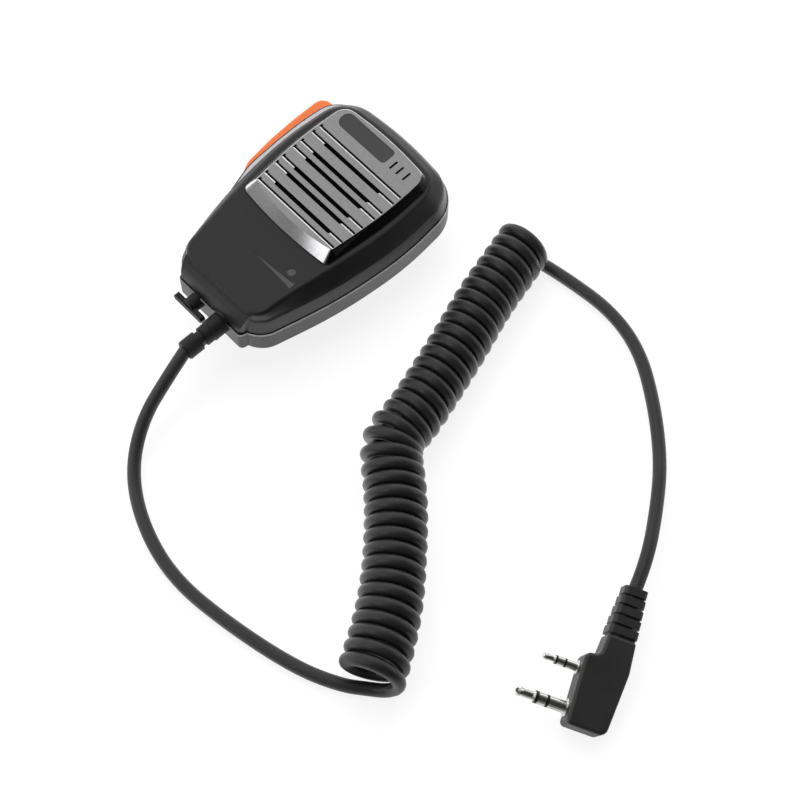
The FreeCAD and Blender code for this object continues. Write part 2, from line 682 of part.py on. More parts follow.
def coil_points():
    """The curly part's axis, drawn out by a cord's radius past its first and last turn."""
    points = [V(x, y, COIL_D / 2) for x, y in COIL_SPINE]
    points[0] += (points[0] - points[1]).normalize() * CORD_R
    points[-1] += (points[-1] - points[-2]).normalize() * CORD_R
    return [tuple(p) for p in points]


# ------------------------------------------------------------------------- plug
def plug_place(solid):
    """Moves a solid from the plug's own axes, w, v and depth for X, Y and Z, to where it lies."""
    tipped = FreeCAD.Rotation(X_AXIS, 180 + PLUG_PITCH) * FreeCAD.Rotation(Y_AXIS, -PLUG_ROLL)
    turned_round = FreeCAD.Rotation(Z_AXIS, PLUG_TURN) * tipped
    return solid.transformed(FreeCAD.Placement(PLUG_AT, turned_round).toMatrix())


def plug_body():
    body = prism(PLUG_PLAN, 0, PLUG_T)
    rims = [e for e in body.Edges if e.BoundBox.ZLength < 0.01]
    body = body.makeFillet(PLUG_EDGE_R, rims)
    return plug_place(body)


def plug_block(w, v, width, thick, length):
    """A rounded block of the relief, centred on w, from v back towards the cord."""
    corner = 1.3
    z0, z1 = (PLUG_T - thick) / 2, (PLUG_T + thick) / 2
    block = prism([(w - width / 2, z0, corner), (w + width / 2, z0, corner),
                   (w + width / 2, z1, corner), (w - width / 2, z1, corner)], 0, length)
    block.rotate(V(), X_AXIS, 90)
    block.translate(V(0, v, 0))
    return block


def plug_strain_relief():
    """Ribs on a flat core whose notches open to one side and the other in turn."""
    ribs = 5
    pitch = 2.95
    slit = 0.75
    blocks = []
    for i in range(ribs):
        w = 8.8 + 0.1 * i
        width = 8.6 - 0.45 * i
        v = PLUG_PLAN[3][1] - i * pitch
        side = 1 if i % 2 == 0 else -1
        blocks.append(plug_block(w + side * width * 0.1, v, width * 0.76, 5.4 - 0.2 * i, pitch))
        blocks.append(plug_block(w, v - slit, width, 7.2 - 0.25 * i, pitch - slit))
    return plug_place(joined(*blocks))


def pin_piece(v, profile):
    """A turned piece of a pin: (radius, distance from the pins' face) points."""
    piece = turned(profile)
    piece.rotate(V(), Y_AXIS, -90)
    piece.translate(V(0, v, PLUG_T / 2))
    return plug_place(piece)


def disc(r, a, b):
    return [(0, a), (r, a), (r, b), (0, b)]


def plug_pin(name, v, r, stops, collar_r):
    """Sleeve, ring and tip of one pin, with the two insulators between them."""
    s1, s2, s3, s4, end = stops
    sleeve = [(0, 0), (collar_r, 0), (collar_r, 0.45), (r, 0.45), (r, s1), (0, s1)]
    neck = r * 0.7
    tip = [(0, s4), (r * 0.84, s4), (neck, s4 + 0.6), (neck, end - 1.9), (r * 0.84, end - 1.2),
           (r * 0.72, end - 0.5), (r * 0.3, end), (0, end)]
    bands = [pin_piece(v, disc(r, s1, s2)), pin_piece(v, disc(r, s3, s4))]
    return {f"{name}_sleeve": pin_piece(v, sleeve), f"{name}_ring": pin_piece(v, disc(r, s2, s3)),
            f"{name}_tip": pin_piece(v, tip), f"{name}_insulators": Part.makeCompound(bands)}


# ------------------------------------------------------------------------- build
def build():
    nodes = {}
    makers = (front_housing, rear_cover, housing_screws, speaker_grille, badge_plate, grille_cloth,
              ptt_key, ptt_pivot_pin, switch_body, switch_plunger, speaker_gasket, speaker_frame,
              speaker_cone, speaker_magnet, mic_boot, mic_capsule, mic_screen, circuit_board,
              board_components, board_screws, earphone_jack, jack_cap, cord_strain_relief,
              clip_plate, clip_jaw, clip_hinge_pin, clip_spring, clip_washer, clip_swivel_screw,
              plug_body, plug_strain_relief)
    for maker in makers:
        nodes[maker.__name__] = maker()
    nodes["cord_lead_mic"] = tube("cord_lead_mic", LEAD_MIC, CORD_D)
    nodes["cord_coil"] = tube("cord_coil", coil_points(), COIL_D)
    nodes["cord_lead_plug"] = tube("cord_lead_plug", LEAD_PLUG, CORD_D)
    nodes.update(plug_pin("large_pin", LARGE_V, 1.75, (5.5, 6.3, 8.6, 9.5, 15.0), 2.6))
    nodes.update(plug_pin("small_pin", SMALL_V, 1.25, (3.7, 4.3, 6.3, 6.9, 10.6), 2.0))
    return nodes


os.makedirs("parts", exist_ok=True)
for name, shape in build().items():
    shape.exportStep(f"parts/{name}.step")
    print(f"{name}: {len(shape.Solids)} solid, {shape.Volume:.1f} mm3, valid {shape.isValid()}")
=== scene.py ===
# %% [markdown]
# # A hand speaker-microphone on its curly cord
# This lesson dresses a CAD model of a radio's hand microphone: a satin black housing with a
# dark metallised grille, an orange push-to-talk key on its left side, a belt clip underneath,
# and a curly cord that ends in a plug with two pins. The CAD parts stay where they are. Blender
# adds the finish of every surface, the real helix of the cord and the small moulded detail.

# %% Load the frame
import json
import math

import bmesh
import bpy
from mathutils import Matrix, Vector


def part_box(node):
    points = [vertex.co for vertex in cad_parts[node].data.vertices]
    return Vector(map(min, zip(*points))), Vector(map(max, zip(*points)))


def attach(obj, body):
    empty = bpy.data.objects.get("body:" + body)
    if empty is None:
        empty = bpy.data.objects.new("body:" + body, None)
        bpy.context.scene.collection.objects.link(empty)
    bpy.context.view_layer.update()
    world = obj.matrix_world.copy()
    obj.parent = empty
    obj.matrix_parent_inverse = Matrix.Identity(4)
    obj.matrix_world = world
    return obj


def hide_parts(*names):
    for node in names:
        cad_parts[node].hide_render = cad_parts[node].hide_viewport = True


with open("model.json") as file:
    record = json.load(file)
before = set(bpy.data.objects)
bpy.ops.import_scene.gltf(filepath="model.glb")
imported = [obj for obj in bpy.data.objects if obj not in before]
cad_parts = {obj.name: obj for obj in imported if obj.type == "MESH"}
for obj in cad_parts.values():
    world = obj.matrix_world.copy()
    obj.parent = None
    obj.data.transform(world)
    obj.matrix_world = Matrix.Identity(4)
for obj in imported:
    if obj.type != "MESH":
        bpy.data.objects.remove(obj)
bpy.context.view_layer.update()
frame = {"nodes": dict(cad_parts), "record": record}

MM = 0.001
scene = bpy.context.scene

# %% [markdown]
# ## Camera
# A long lens keeps a small product's edges nearly parallel, as in a catalogue. The camera looks
# down at about 64 degrees from the right of the microphone's lower end, and it is rolled so that
# its own right-hand axis stays level with the table.

# %% Camera
CAMERA_AT = Vector((237.4, -191.1, 528.4)) * MM
CAMERA_RIGHT = Vector((0.6884, 0.7254, 0.0))
CAMERA_UP = Vector((-0.6536, 0.6203, 0.4337))
LENS_MM = 90.0


def add_camera():
    """A camera whose three axes are given, which keeps its roll exact."""
    lens = bpy.data.cameras.new("camera")
    lens.lens = LENS_MM
    lens.sensor_width = 36.0
    lens.clip_start = 0.01
    camera = bpy.data.objects.new("camera", lens)
    scene.collection.objects.link(camera)
    back = CAMERA_RIGHT.cross(CAMERA_UP)
    axes = Matrix((CAMERA_RIGHT, CAMERA_UP, back)).transposed()
    camera.matrix_world = Matrix.Translation(CAMERA_AT) @ axes.to_4x4()
    scene.camera = camera
    return camera


camera = add_camera()
print("camera at", [round(v, 3) for v in camera.location], "lens", LENS_MM)

# %% [markdown]
# ## Shader maths
# Materials here are small programs. A class that wraps one output socket lets us write
# `1 - mask` or `grain * 0.2 + 0.4` and get the nodes for it. Plain numbers go to Math nodes,
# vectors to Vector Math and colours to Mix nodes. Every other node comes from `Recipe.add`,
# which takes the node's type, its settings, and then the values or links of its sockets.

# %% The socket class
class Socket:
    """One output of a node, which can be used in ordinary maths."""

    def __init__(self, recipe, output):
        self.recipe = recipe
        self.output = output

    def _with(self, operation, first, second):
        kinds = [x.output.type if isinstance(x, Socket) else "" for x in (first, second)]
        if "RGBA" in kinds:
            settings = {"data_type": "RGBA", "blend_type": operation}
            return self.recipe.add("Mix", settings, {0: 1.0, 6: first, 7: second}, 2)
        kind = "VectorMath" if "VECTOR" in kinds else "Math"
        if kind == "VectorMath":
            first, second = [(x, x, x) if isinstance(x, (int, float)) else x for x in (first, second)]
        return self.recipe.add(kind, {"operation": operation}, {0: first, 1: second})

    def __add__(self, other):
        return self._with("ADD", self, other)

    def __radd__(self, other):
        return self._with("ADD", other, self)

    def __sub__(self, other):
        return self._with("SUBTRACT", self, other)

    def __rsub__(self, other):
        return self._with("SUBTRACT", other, self)

    def __mul__(self, other):
        return self._with("MULTIPLY", self, other)

    def __rmul__(self, other):
        return self._with("MULTIPLY", other, self)

    def __truediv__(self, other):
        return self._with("DIVIDE", self, other)

    def between(self, low, high):
        """0 at low, 1 at high, and smooth in between."""
        return self.recipe.add("MapRange", {"interpolation_type": "SMOOTHSTEP"},
                               {"Value": self, "From Min": low, "From Max": high})


class Recipe:
    """A node tree: a new material's, or the one it is given."""

    def __init__(self, name, tree=None):
        if tree is None:
            self.material = bpy.data.materials.new(name)
            self.material.use_nodes = True
            tree = self.material.node_tree
        self.tree = tree
        self.tree.nodes.clear()

    def add(self, kind, settings=None, sockets=None, output=0):
        """Adds a node: its settings first, then its sockets, and wraps one output."""
        node = self.tree.nodes.new("ShaderNode" + kind)
        for name, value in (settings or {}).items():
            setattr(node, name, value)
        for key, value in (sockets or {}).items():
            self._plug(node.inputs[key], value)
        return Socket(self, node.outputs[output]) if node.outputs else node

    def _plug(self, target, value):
        if isinstance(value, Socket):
            self.tree.links.new(value.output, target)
        elif target.type == "RGBA" and len(value) == 3:
            target.default_value = (*value, 1.0)
        else:
            target.default_value = value

    def place(self):
        """The point's position, in metres; every piece keeps its origin at the frame's."""
        return self.add("TexCoord", None, None, "Object")

    def axes(self):
        """The position's X, Y and Z, each as a number."""
        place = self.place()
        return [self.add("SeparateXYZ", None, {0: place}, name) for name in "XYZ"]

    def facing(self):
        """The surface's own direction, as X, Y and Z."""
        normal = self.add("NewGeometry", None, None, "Normal")
        return [self.add("SeparateXYZ", None, {0: normal}, name) for name in "XYZ"]

    def wave(self, angle):
        """The sine of an angle in radians."""
        return self.add("Math", {"operation": "SINE"}, {0: angle})

    def mix(self, share, first, second):
        """A colour between two colours."""
        return self.add("Mix", {"data_type": "RGBA"}, {0: share, 6: first, 7: second}, 2)

    def noise(self, scale, detail=3.0, at=None):
        """Even noise around 0.5, with about scale features per metre."""
        return self.add("TexNoise", None, {"Vector": at or self.place(), "Scale": scale, "Detail": detail})

    def bump(self, height, depth, normal=None):
        """A relief of this depth in metres, on top of another one if it is given."""
        sockets = {"Height": height, "Distance": depth}
        if normal:
            sockets["Normal"] = normal
        return self.add("Bump", None, sockets)

    def surface(self, **sockets):
        """Ends the tree with a Principled shader, and returns the material."""
        named = {name.replace("_", " ").title(): value for name, value in sockets.items()}
        shader = self.add("BsdfPrincipled", None, named)
        self.add("OutputMaterial", None, {"Surface": shader})
        return self.material


print("shader helpers ready")

# %% [markdown]
# ## Cord route
# The cord is one length of round cable: a straight lead from the microphone's gland, a curly
# part, and a lead to the plug. Its plain leads follow a few listed points. The curly part
# is a left-handed helix, so its points are worked out by a loop around a spine that lies a
# coil's radius above the table.

# %% The leads and the coil's spine
CORD_D = 4.0
CORD_R = CORD_D / 2
TURNS = 35
POINTS_PER_TURN = 16
LEAD_MIC = [(5.06, -55.7, 17.0), (7.2, -64, 15.6), (9, -76.8, 7.2), (17.7, -89, CORD_R),
            (33.5, -97.4, CORD_R), (51.3, -101, CORD_R), (71.7, -98.5, CORD_R), (92.8, -93.7, CORD_R),
            (105.3, -88, CORD_R)]
COIL_SPINE = [(111.6, -82.9), (107.2, -75.2), (98.9, -63.0), (88, -51), (77, -40.3), (63.4, -30.4),
              (63.0, -21.5), (59.4, -9), (54.8, 6.5), (49.6, 21.5), (46.2, 36), (44.0, 44.7)]
LEAD_PLUG = [(58.8, 47.6, CORD_R), (75.9, 49.3, CORD_R), (91, 45.7, CORD_R), (106, 35.9, CORD_R),
             (119.6, 24.2, CORD_R), (129.5, 11.5, 4.6), (139.3, -3.5, 8.6), (143.3, -13.2, 8.9)]


def nurbs_curve(name, points, bevel=0.0):
    """A curve object of one open NURBS spline with these control points, in millimetres."""
    data = bpy.data.curves.new(name, "CURVE")
    data.dimensions = "3D"
    spline = data.splines.new("NURBS")
    spline.points.add(len(points) - 1)
    for point, place in zip(spline.points, points):
        point.co = (*(Vector(place) * MM), 1.0)
    spline.order_u = 3
    spline.use_endpoint_u = True
    spline.resolution_u = 8
    data.bevel_depth = bevel
    curve = bpy.data.objects.new(name, data)
    scene.collection.objects.link(curve)
    return curve


def line_of(curve):
    """Points along a curve that has no bevel, in millimetres."""
    mesh = bpy.data.meshes.new_from_object(curve)
    points = [v.co / MM for v in mesh.vertices]
    bpy.data.meshes.remove(mesh)
    return points


spine_curve = nurbs_curve("coil_spine", [(x, y, 0) for x, y in COIL_SPINE])
spine_curve.data.splines[0].resolution_u = 40
spine = line_of(spine_curve)
bpy.data.objects.remove(spine_curve)
print("spine points", len(spine))

# %% [markdown]
# ## Curly part
# Each turn goes once round the spine, and takes a little more than a cord's width of it. On the
# inside of a bend the turns press together, so there a turn takes more of the spine. We add up
# turns along the spine at that rate, scale the sum to a whole number of turns, and then place
# sixteen points to a turn. A NURBS curve passes a little inside its points, so the helix is made
# that much wider than the coil is to be.

# %% The helix
NURBS_SHRINK = 0.981
RING_R = ((0.0, 7.85), (0.23, 7.1), (0.48, 7.1), (0.55, 6.83), (1.0, 6.83))
PITCH = ((0.0, 4.45), (0.08, 4.12), (1.0, 4.1))
FACING_REACH = 7.0
LIFT = 0.1


def read_off(table, share):
    """The value at share in a table of (share, value) pairs."""
    for (s0, v0), (s1, v1) in zip(table, table[1:]):
        if share <= s1:
            return v0 + (v1 - v0) * (share - s0) / (s1 - s0)
    return table[-1][1]


def travelled(points):
    """Distance along the points, from the first to each of them."""
    far = [0.0]
    for a, b in zip(points, points[1:]):
        far.append(far[-1] + (b - a).length)
    return far


def place_along(points, far, distance):
    """The place at this distance, going straight on past either end."""
    i = 0
    while i < len(far) - 2 and far[i + 1] < distance:
        i += 1
    share = (distance - far[i]) / (far[i + 1] - far[i])
    return points[i] + (points[i + 1] - points[i]) * share


def helix_points():
    """Control points from the bottom of the first turn to the bottom of the last one."""
    far = travelled(spine)
    turns = [0.0]
    for a, b in zip(far, far[1:]):
        turns.append(turns[-1] + (b - a) / read_off(PITCH, a / far[-1]))
    points = []
    i = 0
    for k in range(TURNS * POINTS_PER_TURN + 1):
        done = k / (TURNS * POINTS_PER_TURN)
        while i < len(turns) - 2 and turns[i + 1] < turns[-1] * done:
            i += 1
        share = (turns[-1] * done - turns[i]) / (turns[i + 1] - turns[i])
        distance = far[i] + (far[i + 1] - far[i]) * share
        radius = read_off(RING_R, done) / NURBS_SHRINK
        centre = place_along(spine, far, distance)
        centre += Vector((0, 0, radius * NURBS_SHRINK + CORD_R + LIFT))
        ahead = place_along(spine, far, distance + FACING_REACH)
        ahead -= place_along(spine, far, distance - FACING_REACH)
        side = ahead.normalized().cross(Vector((0, 0, 1)))
        angle = 2 * math.pi * k / POINTS_PER_TURN
        drop = Vector((0, 0, radius * math.cos(angle)))
        points.append(centre + side * (radius * math.sin(angle)) - drop)
    print("spine", round(far[-1], 1), "natural turns", round(turns[-1], 2))
    return points


helix = helix_points()
cord = nurbs_curve("cord", LEAD_MIC + helix + LEAD_PLUG, CORD_R * MM)
cord.data.bevel_resolution = 5
cord.data.use_fill_caps = True
measure = nurbs_curve("measure", LEAD_MIC + helix + LEAD_PLUG)
cord_line = line_of(measure)
bpy.data.objects.remove(measure)
print("turns", TURNS, "cord length", round(travelled(cord_line)[-1]), "mm")
print("lowest point of its middle", round(min(p.z for p in cord_line), 2), "mm")

# %% [markdown]
# ## Clip spring
# The belt clip closes by a torsion spring on its hinge pin: eight and a half turns of thin wire
# with two legs, one that pushes on the plate and one on the jaw. The CAD model has a plain sleeve
# there. A Screw modifier on a circle makes a helix too, but the legs would then be separate
# pieces, so the wire is one more curve, with its turns worked out by a loop. It rides with the
# plate, which holds the pin.

# %% The wire
HINGE = Vector((0.0, 8.0, 4.4))
WIRE_D = 0.7
SPRING_TURNS = 8.5
SPRING_R = 1.62
SPRING_HALF = 2.6
SPRING_STEPS = 12
PLATE_LEG = [(0, 4.6, 0.0), (0, 2.3, 0.05)]
JAW_LEG = [(0, 0.6, 0.1), (0, 1.3, 0.3)]


def spring_wire():
    """The spring from its leg on the plate, round the pin, to its leg on the jaw."""
    steps = round(SPRING_TURNS * SPRING_STEPS)
    coils = []
    for k in range(steps + 1):
        angle = -2 * math.pi * k / SPRING_STEPS
        across = SPRING_HALF - 2 * SPRING_HALF * k / steps
        coils.append(HINGE + Vector((across, SPRING_R * math.sin(angle), SPRING_R * math.cos(angle))))
    first = [coils[0] + Vector(step) for step in PLATE_LEG]
    last = [coils[-1] + Vector(step) for step in JAW_LEG]
    wire = nurbs_curve("clip_spring_wire", first + coils + last, WIRE_D / 2 * MM)
    wire.data.bevel_resolution = 3
    wire.data.use_fill_caps = True
    return wire


spring = spring_wire()
print("spring turns", SPRING_TURNS, "points", len(spring.data.splines[0].points))

# %% [markdown]
# ## Black moulded shells
# The two halves of the housing are black ABS with a fine spark-eroded texture. Close up the
# texture is a carpet of tiny pits, and from further away it shows only as a satin sheen. So a fine
# noise drives the bump, and a broad, weak one moves the roughness, as handling does. The flank
# that rises from the edge to the face is a little full on the real shell and straight in the CAD
# loft. A second bump, which depends on height alone, rounds it without a change to the mesh.

# %% Shell texture
GRAIN_DEPTH = 0.03 * MM
FLANK = (25.1 * MM, 28.9 * MM)
FLANK_SWELL = 0.1 * MM


def shell_texture(recipe, colour):
    """A moulded surface's colour and roughness, and the grain for its bump."""
    grain = recipe.noise(4200.0, 2.0)
    cloud = recipe.noise(45.0, 3.0)
    roughness = 0.40 + (cloud - 0.5) * 0.16 + (grain - 0.5) * 0.10
    base = recipe.mix(cloud.between(0.3, 0.7), [c * 0.85 for c in colour], [c * 1.15 for c in colour])
    return base, roughness, grain


def swell(recipe):
    """Turns the flank's flat slope into a full, rounded one."""
    share = (recipe.axes()[2] - FLANK[0]) / (FLANK[1] - FLANK[0])
    outer = recipe.add("Clamp", None, {0: 1.0 - share * 2.0})
    return recipe.bump(outer * outer * -1.0, FLANK_SWELL)


print("flank from", round(FLANK[0] / MM, 1), "to", round(FLANK[1] / MM, 1), "mm")

# %% [markdown]
# ## Mark, painted highlights and painted shade
# Four things break the black. A tapered mark beside the sound port is painted lighter, as a
# highlight on its smooth surface. The ledge round the front half has a pale painted highlight on
# its left, beside the key, and a weaker one round the upper end. The parting line between the
# halves is painted near black as shade, and the lip of the rear cover below it has a bright
# painted highlight, most of all on the right. Each is a mask of position and of the surface's own
# direction, so it stays on its edge in every view. An image could hold them as well, but it would
# need an unwrapped mesh.

# %% Masks on the front half
SOFT = 0.05 * MM
COVER_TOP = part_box("rear_cover")[1][2]
SEAM_TOP = COVER_TOP + 1.1 * MM
MARK_TIP = (-0.6 * MM, -23.5 * MM)
MARK_END = 15.8 * MM
MARK_RISE = 0.089
MARK_FALL = -0.036
MARK_EDGE = 0.1 * MM
MARK_FADE = 2.5 * MM
FACE_FROM = (26 * MM, 27 * MM)
LEDGE_TOP = 25.0 * MM
LEDGE_LEFT = -21.5 * MM
EDGE_HIGHLIGHT_HEIGHT = 1.7 * MM


def mark(recipe):
    """The tapered mark: between two lines that part from its tip, as far as its blunt end."""
    x, y, z = recipe.axes()
    reach = x - MARK_TIP[0]
    over = (MARK_TIP[1] + reach * MARK_RISE - y).between(-MARK_EDGE, MARK_EDGE)
    under = (y - MARK_TIP[1] - reach * MARK_FALL).between(-MARK_EDGE, MARK_EDGE)
    inside = over * under * reach.between(0, MARK_FADE) * (MARK_END - x).between(0, 2 * MARK_EDGE)
    return inside * z.between(*FACE_FROM)


def painted_edge_highlight(recipe):
    """The painted highlight on the outer edge: strong on the left side, weaker at the upper end."""
    x, _, z = recipe.axes()
    across, along, up = recipe.facing()
    upper = along.between(0.3, 0.6) * (1.0 - across.between(0.0, 0.5)) * up.between(0.1, 0.3)
    upper = upper * (EDGE_HIGHLIGHT_HEIGHT + LEDGE_TOP - z).between(0, EDGE_HIGHLIGHT_HEIGHT)
    left = ((across * -1.0).between(0.3, 0.6) + (LEDGE_LEFT - x).between(0, 0.3 * MM)).between(0, 1)
    left = left * (0.3 * MM + LEDGE_TOP - z).between(0, 0.2 * MM)
    left = left * (z - LEDGE_TOP).between(-0.02 * MM, -0.005 * MM)
    return (upper * 0.5 + left).between(0, 1)


def seam_shade(recipe):
    """Painted shade: the lowest strip of the front half, down in the parting line."""
    return recipe.axes()[2].between(SEAM_TOP + SOFT, SEAM_TOP - SOFT)


print("parting line up to", round(SEAM_TOP / MM, 2), "mm")

# %% The two shell plastics
LIP_FOOT = COVER_TOP - 0.5 * MM


def front_shell():
    """Black, with the mark's painted highlight, the edge's painted highlight and the parting line's
    painted shade laid over it in that order.
    """
    recipe = Recipe("front_shell_plastic")
    base, roughness, grain = shell_texture(recipe, (0.0125, 0.0125, 0.0131))
    # Painted highlight: the tapered mark is lighter than the black around it.
    base = recipe.mix(mark(recipe), base, (0.08, 0.08, 0.081))
    # Painted highlight: the outer edge is pale on the left side and at the upper end.
    base = recipe.mix(painted_edge_highlight(recipe), base, (0.64, 0.62, 0.65))
    # Painted shade: the parting line is near black.
    base = recipe.mix(seam_shade(recipe), base, (0.001, 0.001, 0.001))
    normal = recipe.bump(grain, GRAIN_DEPTH, swell(recipe))
    return recipe.surface(base_color=base, roughness=roughness, normal=normal)


def rear_shell():
    """Black, with a painted highlight on the lip's rounded edge: none on its flat top, and brightest on
    the right side.
    """
    recipe = Recipe("rear_shell_plastic")
    base, roughness, grain = shell_texture(recipe, (0.013, 0.013, 0.0138))
    across, _, up = recipe.facing()
    # Painted highlight on the lip, where its edge turns down from the flat top, brightest facing right.
    highlight_share = (1.0 - up.between(0.90, 0.98)) * (0.4 + across.between(0.0, 0.4) * 0.6)
    lip_highlight = recipe.mix(highlight_share, (0.014, 0.014, 0.0145), (0.75, 0.75, 0.76))
    lip = (recipe.axes()[2] - LIP_FOOT).between(-SOFT, SOFT)
    return recipe.surface(base_color=recipe.mix(lip, base, lip_highlight), roughness=roughness,
                          normal=recipe.bump(grain, GRAIN_DEPTH))


front_plastic = front_shell()
rear_plastic = rear_shell()
print("shell plastics:", front_plastic.name, rear_plastic.name)

# %% [markdown]
# ## Metallised grille
# The grille is a plastic moulding under a thin dark metal coat. The coat is even on the face. The
# narrow grooves are painted black as shade in their depth; a mask on height, inside the grooved
# field, finds them. A painted highlight makes the coat bright on the bevels that face up, left and
# away, painted shade makes the right one dark, and the foot, where the grille sits in its recess,
# is painted black as shade. The slight mottling is the plastic's own texture under the coat.

# %% Grille coat
GRILLE_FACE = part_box("speaker_grille")[1][2]
GROOVE_TOP = GRILLE_FACE - 0.3 * MM
FOOT_TOP = 29.68 * MM
RECESS_SHADE_SOFTNESS = 0.04 * MM
GROOVE_FIELD = ((-17.75 * MM, 17.75 * MM), (-7.95 * MM, 27.5 * MM))


def recess_shade(recipe):
    """Painted shade, black: the grooves inside their field, and the grille's foot."""
    x, y, z = recipe.axes()
    field = 1.0
    for value, (low, high) in zip((x, y), GROOVE_FIELD):
        field = field * (value - low).between(0, SOFT) * (high - value).between(0, SOFT)
    groove = field * (GROOVE_TOP - z).between(-RECESS_SHADE_SOFTNESS, RECESS_SHADE_SOFTNESS)
    foot = (FOOT_TOP - z).between(-RECESS_SHADE_SOFTNESS, RECESS_SHADE_SOFTNESS)
    return (groove + foot).between(0, 1)


def coat_and_painted_light(recipe):
    """Mottled grey metal, with a painted highlight on the left and far bevels and painted shade on the
    right one.
    """
    across, along, up = recipe.facing()
    mottle = recipe.noise(900.0, 4.0).between(0.3, 0.7)
    coat = recipe.mix(mottle, (0.33, 0.33, 0.335), (0.36, 0.36, 0.365))
    # Painted highlight on the bevels that face up, left and away.
    highlight_share = (along.between(0.1, 0.3) + (across * -1.0).between(0.25, 0.5)) * up.between(0.1, 0.3)
    coat = recipe.mix(highlight_share.between(0, 1), coat, (0.95, 0.95, 0.95))
    # Painted shade on the bevel that faces right.
    return recipe.mix(across.between(0.25, 0.4), coat, (0.05, 0.05, 0.05))


def metallised_coat():
    """Metal on the face and bevels, and dull black plastic as painted shade in the grooves and at the
    foot.
    """
    recipe = Recipe("dark_metallised_coat")
    # Painted shade: the grooves and the foot are black and not metal.
    black = recess_shade(recipe)
    grain = recipe.noise(2600.0, 3.0)
    return recipe.surface(base_color=recipe.mix(black, coat_and_painted_light(recipe), (0.004, 0.004, 0.004)),
                          metallic=1.0 - black,
                          roughness=(0.17 + grain * 0.08) * (1.0 - black) + black * 0.6,
                          normal=recipe.bump(grain, 0.008 * MM))


grille_coat = metallised_coat()
print("grille coat, grooves below", round(GROOVE_TOP / MM, 2))

# %% [markdown]
# ## Plain mouldings, rubber and metal
# The rest are variations on four recipes. A moulded plastic has a colour, a gloss and a grain. A
# rubber is the same with more grain and less gloss. A plated metal has fine turning or rolling
# marks, and a woven cloth has threads both ways.

# %% Moulded plastic and rubber
def moulded(name, colour, roughness=0.45, grain_size=3200.0, depth=0.02, spread=0.12):
    """A moulding: grain_size pits to a metre, depth in millimetres, and spread of its shade."""
    recipe = Recipe(name)
    grain = recipe.noise(grain_size, 2.0)
    cloud = recipe.noise(90.0, 3.0)
    base = recipe.mix(cloud, [c * (1 - spread) for c in colour], [c * (1 + spread) for c in colour])
    return recipe.surface(base_color=base, roughness=roughness + (cloud - 0.5) * 0.2,
                          normal=recipe.bump(grain, depth * MM))


badge_finish = moulded("bare_dark_plate", (0.048, 0.048, 0.05), 0.5, 2500.0)
key_finish = moulded("orange_key_rubber", (1.0, 0.225, 0.062), 0.5, 2600.0, 0.03, 0.05)
clip_finish = moulded("clip_nylon", (0.013, 0.013, 0.0135), 0.42)
rubber_finish = moulded("black_rubber", (0.012, 0.012, 0.0124), 0.6, 2600.0, 0.04)
plug_finish = moulded("plug_moulding", (0.027, 0.027, 0.0275), 0.38, spread=0.2)
insulator_finish = moulded("pin_insulation", (0.008, 0.008, 0.008), 0.35)
package_finish = moulded("component_black", (0.018, 0.018, 0.02), 0.3)
plunger_finish = moulded("plunger_white", (0.78, 0.77, 0.74), 0.4)
paper_finish = moulded("cone_paper", (0.055, 0.05, 0.045), 0.8, 900.0, 0.08, 0.3)
magnet_finish = moulded("magnet_ferrite", (0.03, 0.03, 0.032), 0.5, 1500.0, 0.05)
port_finish = moulded("sound_port_disc", (0.085, 0.085, 0.087), 0.5, 2500.0)
print("mouldings ready")

# %% [markdown]
# ## Plated metal
# Nickel on the plug's pins, zinc on the screws, the clip's pin and spring: smooth, with faint marks
# of rolling or turning. Noise that is stretched one way gives such lines, and it only moves the
# roughness and a very small bump. An anisotropic gloss could do it too, but the marks would then
# need a direction on every turned piece.

# %% Metal
ROLLED = (300.0, 6000.0, 6000.0)


def plated(name, colour, roughness):
    """Plated metal with marks along X, and a little tarnish."""
    recipe = Recipe(name)
    lines = recipe.noise(1.0, 3.0, at=recipe.place() * ROLLED)
    tarnish = recipe.noise(260.0, 4.0)
    base = recipe.mix(tarnish.between(0.3, 0.8), colour, [c * 0.82 for c in colour])
    return recipe.surface(base_color=base, metallic=1.0, roughness=roughness + (lines - 0.5) * 0.12,
                          normal=recipe.bump(lines, 0.004 * MM))


pin_finish = plated("nickel_plate", (0.86, 0.855, 0.84), 0.12)
steel_finish = plated("zinc_plated_steel", (0.52, 0.53, 0.54), 0.3)
can_finish = plated("capsule_can", (0.66, 0.66, 0.66), 0.28)
print("metals ready")

# %% [markdown]
# ## Cloth and circuit board
# The cloth behind the slots is a fine black polyester weave. Two sine waves at right angles make
# the over and under of its threads. The circuit board has a green mask over copper tracks: a
# coarse cell pattern stands in for the tracks, because the closed housing hides them.

# %% Cloth and board
THREAD = 0.35 * MM


def cloth_weave():
    """Threads that pass over and under each other."""
    recipe = Recipe("speaker_cloth_weave")
    x, y, _ = recipe.axes()
    warp = recipe.wave(x * (2 * math.pi / THREAD))
    weft = recipe.wave(y * (2 * math.pi / THREAD))
    over = warp * weft * 0.5 + 0.5
    base = recipe.mix(over, (0.002, 0.002, 0.002), (0.012, 0.012, 0.013))
    return recipe.surface(base_color=base, roughness=0.85, normal=recipe.bump(over, 0.08 * MM))


def board_mask():
    """Green mask, darker between the tracks."""
    recipe = Recipe("board_green_mask")
    cells = recipe.add("TexVoronoi", {"feature": "DISTANCE_TO_EDGE"},
                       {"Vector": recipe.place(), "Scale": 260.0})
    track = cells.between(0.04, 0.09)
    base = recipe.mix(track, (0.012, 0.075, 0.028), (0.008, 0.042, 0.018))
    return recipe.surface(base_color=base, roughness=0.35, normal=recipe.bump(track, 0.03 * MM))


cloth_finish = cloth_weave()
board_finish = board_mask()
print("weave pitch", THREAD / MM, "mm")

